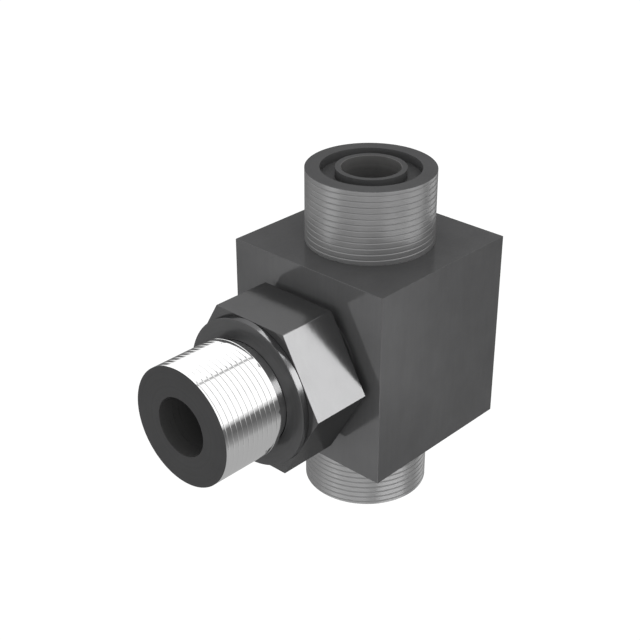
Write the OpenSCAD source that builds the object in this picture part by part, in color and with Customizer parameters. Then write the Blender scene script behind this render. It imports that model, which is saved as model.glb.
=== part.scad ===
// Adjustable branch tee adapter for hydraulic tube lines.
// A square-sided block carries two face-seal ends, one above the other. A straight-thread
// stud is fixed in its front side, and a locknut and a back-up washer ride on that stud.
// +Z is up along the run, the branch points along -Y, and the origin is where the two
// port axes cross. Threads are plain cylinders at their major diameter.

/* [Block] */
// Width of the block, across the branch (X)
block_w = 30.4; // [28:0.1:40]
// Depth of the block, along the branch (Y)
block_d = 29.6; // [28:0.1:40]
// Height of the block, along the run (Z)
block_h = 32.4; // [28:0.1:44]

/* [Run ends] */
// Major diameter of the run ends' 13/16-16 thread
run_thread_d = 20.64; // [19:0.01:24]
// Length of each run end beyond the block
run_end_l = 12.0; // [8:0.1:18]
// Diameter of the passage along the run
run_bore_d = 9.4; // [6:0.1:10]
// Outer diameter of the O-ring groove in each end face
face_groove_od = 16.0; // [14.6:0.05:17.2]
// Inner diameter of the O-ring groove in each end face
face_groove_id = 11.25; // [10.6:0.05:12.4]
// Depth of the O-ring groove in each end face
face_groove_depth = 1.5; // [0.8:0.05:2.2]

/* [Branch stud] */
// Major diameter of the stud's 3/4-16 thread
stud_thread_d = 19.05; // [18.2:0.01:20.4]
// Length of the front thread, from the O-ring relief to the end face
stud_front_l = 11.0; // [7:0.1:16]
// Diameter of the relief that the washer and the stud's O-ring sit on
relief_d = 17.0; // [15.8:0.05:17.4]
// Relief left free between the washer and the front thread
relief_free_l = 2.0; // [1.9:0.1:3.5]
// Diameter of the passage along the branch
branch_bore_d = 9.4; // [6:0.1:10]
// Diameter of the spigot that holds the stud in the block
spigot_d = 14.0; // [12:0.1:15.6]
// Length of that spigot, which is also the depth of its socket
spigot_l = 8.0; // [5:0.1:8.4]

/* [Locknut] */
// Hexagon size across the flats
nut_af = 24.0; // [23:0.1:30]
// Thickness of the nut
nut_h = 10.4; // [7:0.1:14]
// Gap between the nut and the block, as the nut stands at rest
nut_gap = 1.7; // [1.6:0.1:3]
// Chamfer that leads into the nut's thread at each end
nut_lead = 0.5; // [0.2:0.05:1]
// Radial clearance of the nut's thread on the stud's thread
nut_clearance = 0.05; // [0.02:0.01:0.1]

/* [Back-up washer] */
// Outer diameter of the washer
washer_d = 23.9; // [21:0.1:28]
// Thickness of the washer
washer_h = 1.1; // [0.8:0.05:2]
// Radial clearance of the washer on the relief
washer_clearance = 0.05; // [0.02:0.01:0.1]

/* [Travel] */
// Way that the nut and washer can go back towards the block
travel_back = 1.5; // [0.5:0.1:1.5]

/* [Hidden] */
$fn = 96;
steel = "dimgray";

// Length of the cone in which the rear thread runs out into the relief
relief_runout = 0.6;
// Overshoot of cutting tools past the face that they cut
cut = 1;

// Places along the branch, as distances from the run's axis
block_face = block_d / 2;
nut_back = block_face + nut_gap;
nut_front = nut_back + nut_h;
washer_front = nut_front + washer_h;
front_thread_start = washer_front + relief_free_l;
stud_end = front_thread_start + stud_front_l;
relief_start = nut_front - travel_back - relief_runout;
spigot_end = block_face - spigot_l;

// Places along the run, as heights over the branch's axis
block_top = block_h / 2;
run_end_top = block_top + run_end_l;

// Turns a form made along +Z so that it runs along the branch, which is -Y
module along_branch() {
    rotate([90, 0, 0]) children();
}

// Ring-shaped groove for a face-seal O-ring, open upwards at the height z
module face_groove(z) {
    translate([0, 0, z - face_groove_depth]) difference() {
        cylinder(h = face_groove_depth + cut, d = face_groove_od);
        translate([0, 0, -cut]) cylinder(h = face_groove_depth + 3 * cut, d = face_groove_id);
    }
}

// Block with both run ends turned on it, the run passage and the socket for the stud
module tee_body() {
    color(steel) difference() {
        union() {
            cube([block_w, block_d, block_h], center = true);
            translate([0, 0, -run_end_top]) cylinder(h = 2 * run_end_top, d = run_thread_d);
        }
        translate([0, 0, -run_end_top - cut]) cylinder(h = 2 * (run_end_top + cut), d = run_bore_d);
        along_branch() cylinder(h = block_face + cut, d = branch_bore_d);
        along_branch() translate([0, 0, spigot_end]) cylinder(h = spigot_l + cut, d = spigot_d);
        face_groove(run_end_top);
        mirror([0, 0, 1]) face_groove(run_end_top);
    }
}

// Half outline of the stud, as distances from the branch's axis and along it from the run's axis
stud_outline = [
    [branch_bore_d / 2, spigot_end],
    [spigot_d / 2, spigot_end],
    [spigot_d / 2, block_face],
    [stud_thread_d / 2, block_face],
    [stud_thread_d / 2, relief_start],
    [relief_d / 2, relief_start + relief_runout],
    [relief_d / 2, front_thread_start],
    [stud_thread_d / 2, front_thread_start],
    [stud_thread_d / 2, stud_end],
    [branch_bore_d / 2, stud_end]
];

// Stud turned in one piece: spigot, rear thread for the nut, relief, front thread for the port
module branch_stud() {
    color(steel) along_branch() rotate_extrude() polygon(stud_outline);
}

// Cone that leads into a thread of diameter d from the face at z = 0, at 45 degrees
module lead_in(d) {
    translate([0, 0, -cut]) cylinder(h = cut + nut_lead, d1 = d + 2 * (cut + nut_lead), d2 = d);
}

// Hexagon locknut with flats above and below, and a lead-in at each end of its thread
module locknut() {
    thread_d = stud_thread_d + 2 * nut_clearance;
    color(steel) along_branch() translate([0, 0, nut_back]) difference() {
        cylinder(h = nut_h, r = nut_af / sqrt(3), $fn = 6);
        translate([0, 0, -cut]) cylinder(h = nut_h + 2 * cut, d = thread_d);
        lead_in(thread_d);
        translate([0, 0, nut_h]) mirror([0, 0, 1]) lead_in(thread_d);
    }
}

// Flat round washer that backs the stud's O-ring, pushed along the relief by the nut
module backup_washer() {
    color(steel) along_branch() translate([0, 0, nut_front]) difference() {
        cylinder(h = washer_h, d = washer_d);
        translate([0, 0, -cut]) cylinder(h = washer_h + 2 * cut, d = relief_d + 2 * washer_clearance);
    }
}

tee_body();
branch_stud();
locknut();
backup_washer();
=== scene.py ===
import math

import bmesh
import bpy
from mathutils import Matrix, Vector


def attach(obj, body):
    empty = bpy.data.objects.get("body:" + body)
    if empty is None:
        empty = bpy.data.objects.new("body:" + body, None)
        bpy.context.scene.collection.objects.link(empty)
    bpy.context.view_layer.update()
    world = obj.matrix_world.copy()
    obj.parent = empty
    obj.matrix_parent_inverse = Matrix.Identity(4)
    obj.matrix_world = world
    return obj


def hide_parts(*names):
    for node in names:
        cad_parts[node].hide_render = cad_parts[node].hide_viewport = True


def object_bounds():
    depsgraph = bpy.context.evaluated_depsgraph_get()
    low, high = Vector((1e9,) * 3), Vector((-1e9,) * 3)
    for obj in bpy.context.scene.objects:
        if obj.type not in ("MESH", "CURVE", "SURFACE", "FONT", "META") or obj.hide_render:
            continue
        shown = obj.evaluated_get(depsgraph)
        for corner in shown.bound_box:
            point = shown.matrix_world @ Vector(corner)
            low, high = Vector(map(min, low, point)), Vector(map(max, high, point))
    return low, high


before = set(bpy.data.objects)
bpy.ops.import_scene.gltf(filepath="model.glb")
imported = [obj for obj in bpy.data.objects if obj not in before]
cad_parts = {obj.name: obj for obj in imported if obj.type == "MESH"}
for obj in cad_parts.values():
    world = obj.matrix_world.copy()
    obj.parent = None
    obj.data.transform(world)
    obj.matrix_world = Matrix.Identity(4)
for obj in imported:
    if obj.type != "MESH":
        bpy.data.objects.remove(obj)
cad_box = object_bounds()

# Studio: a pale table and backdrop that the part doesn't mirror, in a room that is brighter above
# its horizon and has a dark seam in its ceiling. Some softboxes only light the part, and others
# are only mirrored in it. The camera stands where the photograph's stood.
table_z = cad_box[0][2]
table_radius = 0.50
table_drop = 0.00002
table_sides = 96
white_level = 1.05
room_back = [(-1.0, 0.43), (-0.60, 0.44), (-0.50, 0.42), (-0.40, 0.28), (-0.30, 0.20), (-0.17, 0.13),
             (0.0, 0.15), (0.10, 0.85), (0.15, 1.30)]
room_front = [(-1.0, 0.50), (-0.60, 0.60), (-0.48, 0.75), (-0.38, 0.70), (-0.25, 0.34), (-0.10, 0.45),
              (0.0, 0.80), (0.20, 0.90), (0.90, 0.90)]
room_front_from = 0.25
room_front_full = -0.45
room_fill = 1.5
ceiling_from = 0.5
ceiling_seam = [(0.456, 1.0), (0.484, 0.22), (0.512, 1.0)]

camera_data = bpy.data.cameras.new("camera")
camera_data.sensor_width = 36.0
camera_data.lens = 72.01
camera_data.clip_start = 0.01
camera_data.clip_end = 20.0
camera = bpy.data.objects.new("camera", camera_data)
bpy.context.collection.objects.link(camera)
camera_place = Vector((0.119755, -0.140569, 0.100936))
camera_right = Vector((0.732854, 0.680386, 0.0))
camera_up = Vector((-0.323230, 0.348156, 0.879949))
camera_turn = Matrix((camera_right, camera_up, camera_right.cross(camera_up))).transposed()
camera.matrix_world = Matrix.Translation(camera_place) @ camera_turn.to_4x4()
bpy.context.scene.camera = camera
bpy.context.scene.view_settings.view_transform = "Standard"


def grey_ramp(nodes, stops):
    """Adds a ramp that goes through stops, given as (place from 0 to 1, grey)."""
    ramp = nodes.new("ShaderNodeValToRGB")
    points = ramp.color_ramp.elements
    points.remove(points[1])
    points[0].position = 1.0
    points[0].color = (stops[-1][1],) * 3 + (1,)
    for place, grey in stops:
        points.new(place).color = (grey, grey, grey, 1)
    return ramp


world = bpy.data.worlds.new("studio")
bpy.context.scene.world = world
world.use_nodes = True
nodes = world.node_tree.nodes
links = world.node_tree.links
nodes.clear()
direction = nodes.new("ShaderNodeTexCoord")
parts = nodes.new("ShaderNodeSeparateXYZ")
links.new(direction.outputs["Generated"], parts.inputs[0])
height = nodes.new("ShaderNodeMapRange")
height.inputs["From Min"].default_value = -1.0
links.new(parts.outputs["Z"], height.inputs["Value"])
front = nodes.new("ShaderNodeMapRange")
front.inputs["From Min"].default_value = room_front_from
front.inputs["From Max"].default_value = room_front_full
links.new(parts.outputs["Y"], front.inputs["Value"])
room = nodes.new("ShaderNodeMix")
room.data_type = "RGBA"
links.new(front.outputs[0], room.inputs["Factor"])
for levels, side in ((room_back, "A"), (room_front, "B")):
    ramp = grey_ramp(nodes, [((sine + 1) / 2, level) for sine, level in levels])
    links.new(height.outputs[0], ramp.inputs[0])
    links.new(ramp.outputs[0], room.inputs[side])
sideways = nodes.new("ShaderNodeMapRange")
sideways.inputs["From Min"].default_value = -1.0
links.new(parts.outputs["X"], sideways.inputs["Value"])
seam = grey_ramp(nodes, ceiling_seam)
links.new(sideways.outputs[0], seam.inputs[0])
overhead = nodes.new("ShaderNodeMath")
overhead.operation = "GREATER_THAN"
overhead.inputs[1].default_value = ceiling_from
links.new(parts.outputs["Z"], overhead.inputs[0])
seamed = nodes.new("ShaderNodeMix")
seamed.data_type = "RGBA"
seamed.blend_type = "MULTIPLY"
links.new(overhead.outputs[0], seamed.inputs["Factor"])
links.new(room.outputs["Result"], seamed.inputs["A"])
links.new(seam.outputs[0], seamed.inputs["B"])
surround = nodes.new("ShaderNodeBackground")
links.new(seamed.outputs["Result"], surround.inputs["Color"])
seen = nodes.new("ShaderNodeLightPath")
filled = nodes.new("ShaderNodeMapRange")
filled.inputs["To Min"].default_value = 1.0
filled.inputs["To Max"].default_value = room_fill
links.new(seen.outputs["Is Diffuse Ray"], filled.inputs["Value"])
links.new(filled.outputs[0], surround.inputs["Strength"])
backdrop = nodes.new("ShaderNodeBackground")
backdrop.inputs["Color"].default_value = (1, 1, 1, 1)
backdrop.inputs["Strength"].default_value = white_level
choose = nodes.new("ShaderNodeMixShader")
links.new(seen.outputs["Is Camera Ray"], choose.inputs[0])
links.new(surround.outputs[0], choose.inputs[1])
links.new(backdrop.outputs[0], choose.inputs[2])
world_out = nodes.new("ShaderNodeOutputWorld")
links.new(choose.outputs[0], world_out.inputs["Surface"])


def softbox(name, place, width, height, radiance, lights=True, mirrored=True):
    """Adds a rectangular softbox that faces the part, and lights it, is mirrored in it, or both."""
    light = bpy.data.lights.new(name, "AREA")
    light.shape = "RECTANGLE"
    light.size = width
    light.size_y = height
    light.energy = radiance * math.pi * width * height
    light_object = bpy.data.objects.new(name, light)
    bpy.context.collection.objects.link(light_object)
    light_object.location = place
    light_object.rotation_euler = Vector(place).to_track_quat("Z", "Y").to_euler()
    light_object.visible_camera = False
    light_object.visible_diffuse = lights
    light_object.visible_glossy = mirrored
    return light_object


softbox_right = softbox("softbox_right", (1.20, 0.78, 0.48), 1.30, 0.70, 5.8, lights=False)
softbox_high = softbox("softbox_high", (0.10, 0.90, 1.30), 1.30, 0.60, 4.0, lights=False)
softbox_front = softbox("softbox_front", (1.05, -1.00, 0.42), 0.70, 0.55, 14.0, lights=False)
softbox_back = softbox("softbox_back", (0.14, 1.30, -0.72), 0.70, 0.80, 1.5, lights=False)
softbox_floor = softbox("softbox_floor", (0.24, -1.12, -1.07), 1.70, 0.40, 2.0, lights=False)
softbox_under = softbox("softbox_under", (1.20, 0.05, -0.88), 1.20, 0.40, 3.0, lights=False)
softbox_near = softbox("softbox_near", (1.06, 0.74, -0.57), 0.75, 0.45, 1.3, lights=False)
softbox_card = softbox("softbox_card", (-0.66, -1.14, -0.62), 0.70, 0.60, 1.2, lights=False)
softbox("softbox_low", (0.20, -1.45, -0.05), 1.60, 1.00, 2.4, mirrored=False)
softbox("softbox_side", (1.35, 0.60, -0.10), 1.20, 0.80, 2.6, mirrored=False)
softbox("softbox_left", (-1.40, -0.30, 0.10), 1.20, 0.80, 2.6, mirrored=False)

table_mesh = bpy.data.meshes.new("table")
bm = bmesh.new()
bmesh.ops.create_circle(bm, cap_ends=True, segments=table_sides, radius=table_radius)
bmesh.ops.translate(bm, verts=bm.verts, vec=(0, 0, table_z - table_drop))
bm.to_mesh(table_mesh)
bm.free()
table = bpy.data.objects.new("table", table_mesh)
bpy.context.collection.objects.link(table)
table.visible_glossy = False
table.visible_diffuse = False
table.visible_shadow = False
table_paint = bpy.data.materials.new("table_paint")
table_paint.use_nodes = True
nodes = table_paint.node_tree.nodes
links = table_paint.node_tree.links
nodes.clear()
glow = nodes.new("ShaderNodeEmission")
glow.inputs["Strength"].default_value = white_level
clear = nodes.new("ShaderNodeBsdfTransparent")
underneath = nodes.new("ShaderNodeNewGeometry")
one_sided = nodes.new("ShaderNodeMixShader")
links.new(underneath.outputs["Backfacing"], one_sided.inputs[0])
links.new(glow.outputs[0], one_sided.inputs[1])
links.new(clear.outputs[0], one_sided.inputs[2])
paint_out = nodes.new("ShaderNodeOutputMaterial")
links.new(one_sided.outputs[0], paint_out.inputs["Surface"])
table_mesh.materials.append(table_paint)


# Tee body: a block of square steel bar with both run ends turned on it in one piece, drilled
# through along the run and from the front. The ends carry right-hand threads and an O-ring
# groove in each face. It is plated dark, and the threads came out of the bath a lighter grey.
block_low = Vector((-0.0152, -0.0148, -0.0162))
block_high = Vector((0.0152, 0.0148, 0.0162))
edge_break = 0.00006
run_thread_radius = 0.01032
run_thread_gap = 0.0001
run_end_top = 0.0282
passage_radius = 0.0047
face_groove_outer = 0.0080
face_groove_inner = 0.005625
face_groove_depth = 0.0015
socket_radius = 0.0070
socket_end = 0.0068
front_face = 0.0148
drill_over = 0.001
thread_pitch = 0.00095
thread_runout = 0.0003
run_thread_form = [(0, 0), (0, 0.00068), (-0.00006, 0.00082)]
turn_steps = 144
weld = 1e-6
sliver = 1e-7
smooth_angle = 12


def spun(bm, outline, closed=True):
    """Turns an outline of (radius, height) points round the Z axis and returns the new faces."""
    verts = [bm.verts.new((r, 0, z)) for r, z in outline]
    edges = [bm.edges.new(pair) for pair in zip(verts, verts[1:])]
    if closed:
        edges.append(bm.edges.new((verts[-1], verts[0])))
    before = set(bm.faces)
    bmesh.ops.spin(bm, geom=verts + edges, cent=(0, 0, 0), axis=(0, 0, 1), angle=2 * math.pi,
                   steps=turn_steps, use_merge=True)
    return [face for face in bm.faces if face not in before]


def threaded(bm, radius, form, low, high, slot):
    """Adds a right-hand threaded wall from low to high, with plain circles at both ends."""
    turns = math.ceil((high - low) / thread_pitch) + 2
    profile = [(radius + r, low + thread_pitch * (count - 1) + z) for count in range(turns) for r, z in form]
    verts = [bm.verts.new((r, 0, z)) for r, z in profile]
    edges = [bm.edges.new(pair) for pair in zip(verts, verts[1:])]
    before = set(bm.verts) - set(verts)
    bmesh.ops.spin(bm, geom=verts + edges, cent=(0, 0, 0), axis=(0, 0, 1), angle=2 * math.pi,
                   dvec=(0, 0, thread_pitch / turn_steps), steps=turn_steps)
    wall = [v for v in bm.verts if v not in before]
    for v in wall:
        v.co.z = min(max(v.co.z, low), high)
        fade = min((v.co.z - low) / thread_runout, (high - v.co.z) / thread_runout, 1.0)
        across = Vector((v.co.x, v.co.y))
        across *= (radius + (across.length - radius) * fade) / across.length
        v.co.xy = across
    bmesh.ops.remove_doubles(bm, verts=wall, dist=weld)
    wall = [v for v in bm.verts if v not in before]
    for face in {face for v in wall for face in v.link_faces}:
        face.material_index = slot
    return wall


def along_branch(bm):
    """Turns what was made round the Z axis so that it runs along the branch, which is -Y."""
    bmesh.ops.rotate(bm, verts=bm.verts, cent=(0, 0, 0), matrix=Matrix.Rotation(math.radians(90), 3, "X"))


def finished(bm, name, steels):
    """Closes the seams of a bmesh, turns its faces outwards and makes it an object of its steels."""
    bmesh.ops.remove_doubles(bm, verts=bm.verts, dist=weld)
    bmesh.ops.dissolve_degenerate(bm, edges=bm.edges, dist=sliver)
    bmesh.ops.recalc_face_normals(bm, faces=bm.faces)
    mesh = bpy.data.meshes.new(name)
    bm.to_mesh(mesh)
    bm.free()
    for material in steels:
        mesh.materials.append(material)
    piece = bpy.data.objects.new(name, mesh)
    bpy.context.collection.objects.link(piece)
    return piece


def smooth(piece):
    """Shades a piece smooth, with sharp edges where its faces meet at more than the smooth angle."""
    piece.data.shade_smooth()
    piece.data.set_sharp_from_angle(angle=math.radians(smooth_angle))


def join_or_cut(piece, tool, operation):
    """Joins a tool solid to a piece or cuts it away, and keeps each solid's own materials."""
    step = piece.modifiers.new("step", "BOOLEAN")
    step.operation = operation
    step.solver = "EXACT"
    step.material_mode = "TRANSFER"
    step.object = tool
    bpy.context.view_layer.update()
    shaped = bpy.data.meshes.new_from_object(piece.evaluated_get(bpy.context.evaluated_depsgraph_get()))
    piece.modifiers.clear()
    old = piece.data
    name = old.name
    piece.data = shaped
    bpy.data.meshes.remove(old)
    shaped.name = name
    bpy.data.objects.remove(tool)


def effect(name, inputs, outputs):
    """Starts a shader node group, with its named inputs and outputs."""
    group = bpy.data.node_groups.new(name, "ShaderNodeTree")
    for way, sockets in (("INPUT", inputs), ("OUTPUT", outputs)):
        for socket, kind in sockets.items():
            group.interface.new_socket(name=socket, in_out=way, socket_type="NodeSocket" + kind)
    return group, group.nodes.new("NodeGroupInput").outputs, group.nodes.new("NodeGroupOutput").inputs


def worked_out(tree, operation, *values):
    """Adds a math node to a tree and returns its result."""
    node = tree.nodes.new("ShaderNodeMath")
    node.operation = operation
    for socket, value in zip(node.inputs, values):
        if isinstance(value, bpy.types.NodeSocket):
            tree.links.new(value, socket)
        else:
            socket.default_value = value
    return node.outputs[0]


def grained(tree, place, scale, detail, spread=4.0):
    """Adds a noise texture to a tree and returns its value, spread to about -1 to 1."""
    noise = tree.nodes.new("ShaderNodeTexNoise")
    noise.inputs["Detail"].default_value = detail
    noise.inputs["Scale"].default_value = scale
    tree.links.new(place, noise.inputs["Vector"])
    return worked_out(tree, "MULTIPLY_ADD", noise.outputs[0], spread, -spread / 2)


speck_share = 0.3
film_dulling = 1.5
plating, given, made = effect("plating_film", {"Position": "Vector", "Color": "Color", "Roughness": "Float",
                                               "Clouds": "Float", "Marks": "Float", "Mark Strength": "Float"},
                              {"Color": "Color", "Roughness": "Float"})
clouds = grained(plating, given["Position"], scale=230.0, detail=3.0)
specks = grained(plating, given["Position"], scale=2600.0, detail=2.0)
film = worked_out(plating, "MULTIPLY_ADD", specks, speck_share, clouds)
marks = worked_out(plating, "MULTIPLY", given["Marks"], given["Mark Strength"])
level = worked_out(plating, "MULTIPLY_ADD", film, given["Clouds"], marks)
toned = plating.nodes.new("ShaderNodeVectorMath")
toned.operation = "SCALE"
plating.links.new(given["Color"], toned.inputs[0])
plating.links.new(worked_out(plating, "ADD", level, 1.0), toned.inputs["Scale"])
plating.links.new(toned.outputs[0], made["Color"])
dulled = worked_out(plating, "MULTIPLY_ADD", level, film_dulling, 1.0)
plating.links.new(worked_out(plating, "MULTIPLY", given["Roughness"], dulled), made["Roughness"])

turning, given, made = effect("turned_rings", {"Position": "Vector", "Pitch": "Float"}, {"Rings": "Float"})
split = turning.nodes.new("ShaderNodeSeparateXYZ")
turning.links.new(given["Position"], split.inputs[0])
squares = worked_out(turning, "MULTIPLY_ADD", split.outputs["X"], split.outputs["X"],
                     worked_out(turning, "MULTIPLY", split.outputs["Y"], split.outputs["Y"]))
rings = turning.nodes.new("ShaderNodeCombineXYZ")
for socket, value in (("X", worked_out(turning, "SQRT", squares)), ("Y", split.outputs["Z"])):
    turning.links.new(worked_out(turning, "DIVIDE", value, given["Pitch"]), rings.inputs[socket])
turning.links.new(grained(turning, rings.outputs[0], scale=1.0, detail=4.0), made["Rings"])

milling, given, made = effect("milled_grain", {"Position": "Vector", "Spacing": "Vector"}, {"Grain": "Float"})
strokes = milling.nodes.new("ShaderNodeVectorMath")
strokes.operation = "DIVIDE"
milling.links.new(given["Position"], strokes.inputs[0])
milling.links.new(given["Spacing"], strokes.inputs[1])
milling.links.new(grained(milling, strokes.outputs[0], scale=1.0, detail=4.0), made["Grain"])


def steel(name, color, metallic, roughness, marks, spacing, strength, depth, clouds=0.05, turned_about="Z",
          specular=0.15, edge_tint=0.3):
    """Makes a plated steel: its film, and turned rings or milled grain in colour and relief."""
    material = bpy.data.materials.new(name)
    material.use_nodes = True
    tree = material.node_tree
    shader = tree.nodes["Principled BSDF"]
    shader.inputs["Metallic"].default_value = metallic
    shader.inputs["Specular IOR Level"].default_value = specular
    shader.inputs["Specular Tint"].default_value = (edge_tint, edge_tint, edge_tint, 1)
    place = tree.nodes.new("ShaderNodeTexCoord").outputs["Object"]
    if turned_about == "Y":
        turn = tree.nodes.new("ShaderNodeMapping")
        turn.inputs["Rotation"].default_value = (math.pi / 2, 0, 0)
        tree.links.new(place, turn.inputs["Vector"])
        place = turn.outputs[0]
    cut = tree.nodes.new("ShaderNodeGroup")
    cut.node_tree = marks
    cut.inputs[1].default_value = spacing
    film = tree.nodes.new("ShaderNodeGroup")
    film.node_tree = plating
    film.inputs["Color"].default_value = (*color, 1)
    film.inputs["Roughness"].default_value = roughness
    film.inputs["Clouds"].default_value = clouds
    film.inputs["Mark Strength"].default_value = strength
    relief = tree.nodes.new("ShaderNodeBump")
    relief.inputs["Distance"].default_value = depth
    for source, target in ((place, cut.inputs[0]), (place, film.inputs["Position"]),
                           (cut.outputs[0], film.inputs["Marks"]),
                           (film.outputs["Color"], shader.inputs["Base Color"]),
                           (film.outputs["Roughness"], shader.inputs["Roughness"]),
                           (cut.outputs[0], relief.inputs["Height"]), (relief.outputs[0], shader.inputs["Normal"])):
        tree.links.new(source, target)
    return material


bar_grain = (0.00035, 0.0009, 0.006)
block_steel = steel("dark_block_steel", (0.082, 0.082, 0.083), metallic=0.38, roughness=0.13, marks=milling,
                    spacing=bar_grain, strength=0.035, depth=1.2e-6, specular=0.0)
end_steel = steel("turned_end_steel", (0.081, 0.081, 0.082), metallic=0.38, roughness=0.20, marks=turning,
                  spacing=0.00030, strength=0.06, depth=1.5e-6, specular=0.0)
bore_steel = steel("drilled_bore_steel", (0.090, 0.089, 0.088), metallic=0.20, roughness=0.30, marks=turning,
                   spacing=0.00045, strength=0.10, depth=3e-6)
run_thread_steel = steel("grey_thread_steel", (0.21, 0.21, 0.211), metallic=0.62, roughness=0.32, marks=turning,
                         spacing=0.00020, strength=0.04, depth=1e-6, clouds=0.045, edge_tint=0.6)

bm = bmesh.new()
bmesh.ops.create_cube(bm, size=1.0)
bmesh.ops.scale(bm, verts=bm.verts, vec=block_high - block_low)
bmesh.ops.translate(bm, verts=bm.verts, vec=(block_high + block_low) / 2)
bmesh.ops.bevel(bm, geom=bm.edges[:], offset=edge_break, affect="EDGES", segments=2, profile=0.5, material=-1)
tee_block = finished(bm, "tee_block", [block_steel])

thread_low = block_high.z + run_thread_gap
thread_high = run_end_top - edge_break
groove_floor = run_end_top - face_groove_depth
end_outline = [(run_thread_radius, thread_high), (run_thread_radius - edge_break, run_end_top),
               (face_groove_outer, run_end_top), (face_groove_outer, groove_floor),
               (face_groove_inner, groove_floor), (face_groove_inner, run_end_top), (0, run_end_top)]
bar_steels = [end_steel, run_thread_steel]
bm = bmesh.new()
spun(bm, [(r, -z) for r, z in reversed(end_outline)]
     + [(run_thread_radius, -thread_low), (run_thread_radius, thread_low)] + end_outline, closed=False)
for face in bm.faces:
    if all(abs(math.hypot(v.co.x, v.co.y) - run_thread_radius) < weld for v in face.verts):
        face.material_index = bar_steels.index(run_thread_steel)
join_or_cut(tee_block, finished(bm, "run_bar", bar_steels), "UNION")

bm = bmesh.new()
lip = edge_break + drill_over
spun(bm, [(0, -run_end_top - drill_over), (passage_radius + lip, -run_end_top - drill_over),
          (passage_radius, -run_end_top + edge_break), (passage_radius, run_end_top - edge_break),
          (passage_radius + lip, run_end_top + drill_over), (0, run_end_top + drill_over)], closed=False)
join_or_cut(tee_block, finished(bm, "run_drill", [bore_steel]), "DIFFERENCE")

bm = bmesh.new()
spun(bm, [(0, 0), (passage_radius, 0), (passage_radius, socket_end), (socket_radius, socket_end),
          (socket_radius, front_face + drill_over), (0, front_face + drill_over)], closed=False)
along_branch(bm)
join_or_cut(tee_block, finished(bm, "branch_drill", [bore_steel]), "DIFFERENCE")

bm = bmesh.new()
bm.from_mesh(tee_block.data)
thread_slot = tee_block.data.materials.find(run_thread_steel.name)
plain = [face for face in bm.faces
         if face.material_index == thread_slot and abs(face.calc_center_median().z) > thread_low]
bmesh.ops.delete(bm, geom=plain, context="FACES")
for side in (1, -1):
    wall = threaded(bm, run_thread_radius, run_thread_form, thread_low, thread_high, thread_slot)
    if side < 0:
        bmesh.ops.rotate(bm, verts=wall, cent=(0, 0, 0), matrix=Matrix.Rotation(math.pi, 3, "X"))
bmesh.ops.remove_doubles(bm, verts=bm.verts, dist=weld)
bmesh.ops.recalc_face_normals(bm, faces=bm.faces)
bm.to_mesh(tee_block.data)
bm.free()
smooth(tee_block)
body_alone = bpy.data.collections.new("body_alone")
body_alone.objects.link(tee_block)
for light in (softbox_back, softbox_floor, softbox_under, softbox_near, softbox_card):
    light.light_linking.receiver_collection = body_alone
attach(tee_block, "body")
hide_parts("tee_body")


# Branch stud: turned from round steel bar, with a spigot that is pressed and brazed into the
# block's side. Behind its O-ring relief is the thread that the locknut runs on, and in front
# of it the thread that screws into a port. Its threads and its relief are left bright.
stud_thread_radius = 0.009525
stud_thread_form = [(0, 0), (0, 0.00074), (-0.000038, 0.00085)]
relief_radius = 0.0085
relief_start = 0.0248
relief_runout = 0.0006
front_thread_start = 0.0300
stud_end = 0.0410
stud_steel = steel("dark_stud_steel", (0.032, 0.032, 0.0325), metallic=0.15, roughness=0.20, marks=turning,
                   spacing=0.00030, strength=0.06, depth=1.5e-6, turned_about="Y")
bright_steel = steel("bright_thread_steel", (0.88, 0.88, 0.88), metallic=1.0, roughness=0.08, marks=turning,
                     spacing=0.00020, strength=0.005, depth=3e-7, clouds=0.003, turned_about="Y", edge_tint=1.0)
stud_bore_steel = steel("stud_bore_steel", (0.050, 0.0497, 0.0494), metallic=0.20, roughness=0.30, marks=turning,
                        spacing=0.00045, strength=0.10, depth=3e-6, turned_about="Y")
stud_steels = [stud_steel, bright_steel, stud_bore_steel]
bright_slot = stud_steels.index(bright_steel)

bm = bmesh.new()
threaded(bm, stud_thread_radius, stud_thread_form, front_face, relief_start, bright_slot)
threaded(bm, stud_thread_radius, stud_thread_form, front_thread_start + edge_break, stud_end - edge_break,
         bright_slot)
spun(bm, [(stud_thread_radius, front_face), (socket_radius, front_face), (socket_radius, socket_end),
          (passage_radius, socket_end), (passage_radius, stud_end - edge_break),
          (passage_radius + edge_break, stud_end), (stud_thread_radius - edge_break, stud_end),
          (stud_thread_radius, stud_end - edge_break)], closed=False)
relief_faces = spun(bm, [(stud_thread_radius, relief_start), (relief_radius, relief_start + relief_runout),
                         (relief_radius, front_thread_start), (stud_thread_radius - edge_break, front_thread_start),
                         (stud_thread_radius, front_thread_start + edge_break)], closed=False)
for face in relief_faces:
    face.material_index = bright_slot
along_branch(bm)
stud = finished(bm, "threaded_stud", stud_steels)
for face in stud.data.polygons:
    if all(abs(math.hypot(*stud.data.vertices[v].co.xz) - passage_radius) < weld for v in face.vertices):
        face.material_index = stud_steels.index(stud_bore_steel)
smooth(stud)
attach(stud, "body")
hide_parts("branch_stud")


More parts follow.
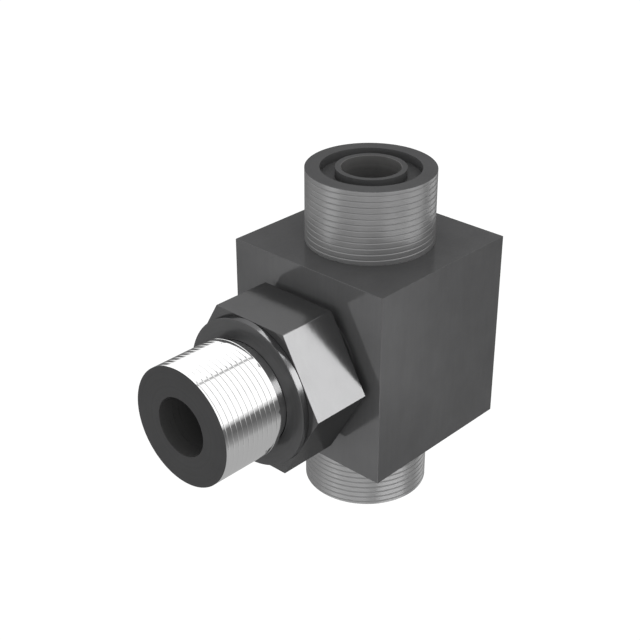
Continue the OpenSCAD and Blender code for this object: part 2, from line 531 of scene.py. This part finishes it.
# Locknut: a hexagon nut milled from steel bar, 24 mm across its flats, with a right-hand thread
# and a lead-in at each end. It turns on the stud's rear thread and pushes the washer.
nut_apothem = 0.0120
nut_back = 0.0165
nut_front = 0.0269
nut_thread_radius = 0.009575
nut_thread_form = [(-r, z) for r, z in run_thread_form]
nut_lead = 0.0005
rim_angle = 50
flat_grain = (0.0016, 0.00030, 0.0016)
nut_steel = steel("plated_nut_steel", (0.104, 0.104, 0.105), metallic=0.76, roughness=0.16, marks=milling,
                  spacing=flat_grain, strength=0.03, depth=8e-7, clouds=0.04, edge_tint=0.35)
nut_thread_steel = steel("nut_thread_steel", (0.17, 0.17, 0.171), metallic=0.60, roughness=0.30, marks=turning,
                         spacing=0.00020, strength=0.05, depth=1e-6, turned_about="Y")
nut_steels = [nut_steel, nut_thread_steel]

bm = bmesh.new()
threaded(bm, nut_thread_radius, nut_thread_form, nut_back + nut_lead, nut_front - nut_lead,
         nut_steels.index(nut_thread_steel))
spun(bm, [(nut_thread_radius, nut_back + nut_lead), (nut_thread_radius + nut_lead, nut_back),
          (nut_apothem, nut_back), (nut_apothem, nut_front),
          (nut_thread_radius + nut_lead, nut_front), (nut_thread_radius, nut_front - nut_lead)], closed=False)
for v in bm.verts:
    across = Vector((v.co.x, v.co.y))
    if across.length > nut_apothem - weld:
        from_flat = (math.atan2(across.y, across.x) % (math.pi / 3)) - math.pi / 6
        v.co.xy = across / math.cos(from_flat)
bmesh.ops.remove_doubles(bm, verts=bm.verts, dist=weld)
bmesh.ops.recalc_face_normals(bm, faces=bm.faces)
rim = [e for e in bm.edges if len(e.link_faces) == 2 and e.calc_face_angle() > math.radians(rim_angle)
       and min(Vector((v.co.x, v.co.y)).length for v in e.verts) > nut_apothem - weld]
bmesh.ops.bevel(bm, geom=rim, offset=edge_break, affect="EDGES", segments=2, profile=0.5, material=-1)
along_branch(bm)
nut = finished(bm, "hexagon_nut", nut_steels)
smooth(nut)
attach(nut, "nut")
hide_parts("locknut")


# Back-up washer: a flat round washer stamped from sheet steel, with slightly rounded rims. It
# slides on the stud's relief, between the locknut and the place of the O-ring.
washer_radius = 0.01195
washer_hole = 0.00855
washer_front = 0.0280
washer_rim = 0.00008
washer_steel = steel("dark_washer_steel", (0.079, 0.079, 0.080), metallic=0.50, roughness=0.22, marks=turning,
                     spacing=0.00050, strength=0.06, depth=1.5e-6, clouds=0.06, turned_about="Y")
# The rim's steel is a lighter, shinier copy of the washer steel. It is partly the bright sheared edge and partly a
# painted highlight that brightens the crescent mirrored on the rim.
washer_rim_and_highlight_steel = steel("sheared_rim_and_painted_highlight_steel", (0.12, 0.12, 0.122), metallic=0.80, roughness=0.18, marks=turning,
                         spacing=0.00020, strength=0.08, depth=2e-6, turned_about="Y")
washer_steels = [washer_steel, washer_rim_and_highlight_steel]

bm = bmesh.new()
spun(bm, [(washer_hole, nut_front + washer_rim), (washer_hole + washer_rim, nut_front),
          (washer_radius - washer_rim, nut_front), (washer_radius, nut_front + washer_rim),
          (washer_radius, washer_front - washer_rim), (washer_radius - washer_rim, washer_front),
          (washer_hole + washer_rim, washer_front), (washer_hole, washer_front - washer_rim)])
along_branch(bm)
washer = finished(bm, "flat_washer", washer_steels)
# The outer rim faces take the lighter rim steel, which is partly a painted highlight.
for face in washer.data.polygons:
    if all(math.hypot(*washer.data.vertices[v].co.xz) > washer_radius - washer_rim / 2 for v in face.vertices):
        face.material_index = washer_steels.index(washer_rim_and_highlight_steel)
smooth(washer)
nut_and_washer = bpy.data.collections.new("nut_and_washer")
nut_and_washer.objects.link(nut)
nut_and_washer.objects.link(washer)
for light in (softbox_right, softbox_high, softbox_front):
    light.light_linking.receiver_collection = nut_and_washer
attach(washer, "washer")
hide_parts("backup_washer")
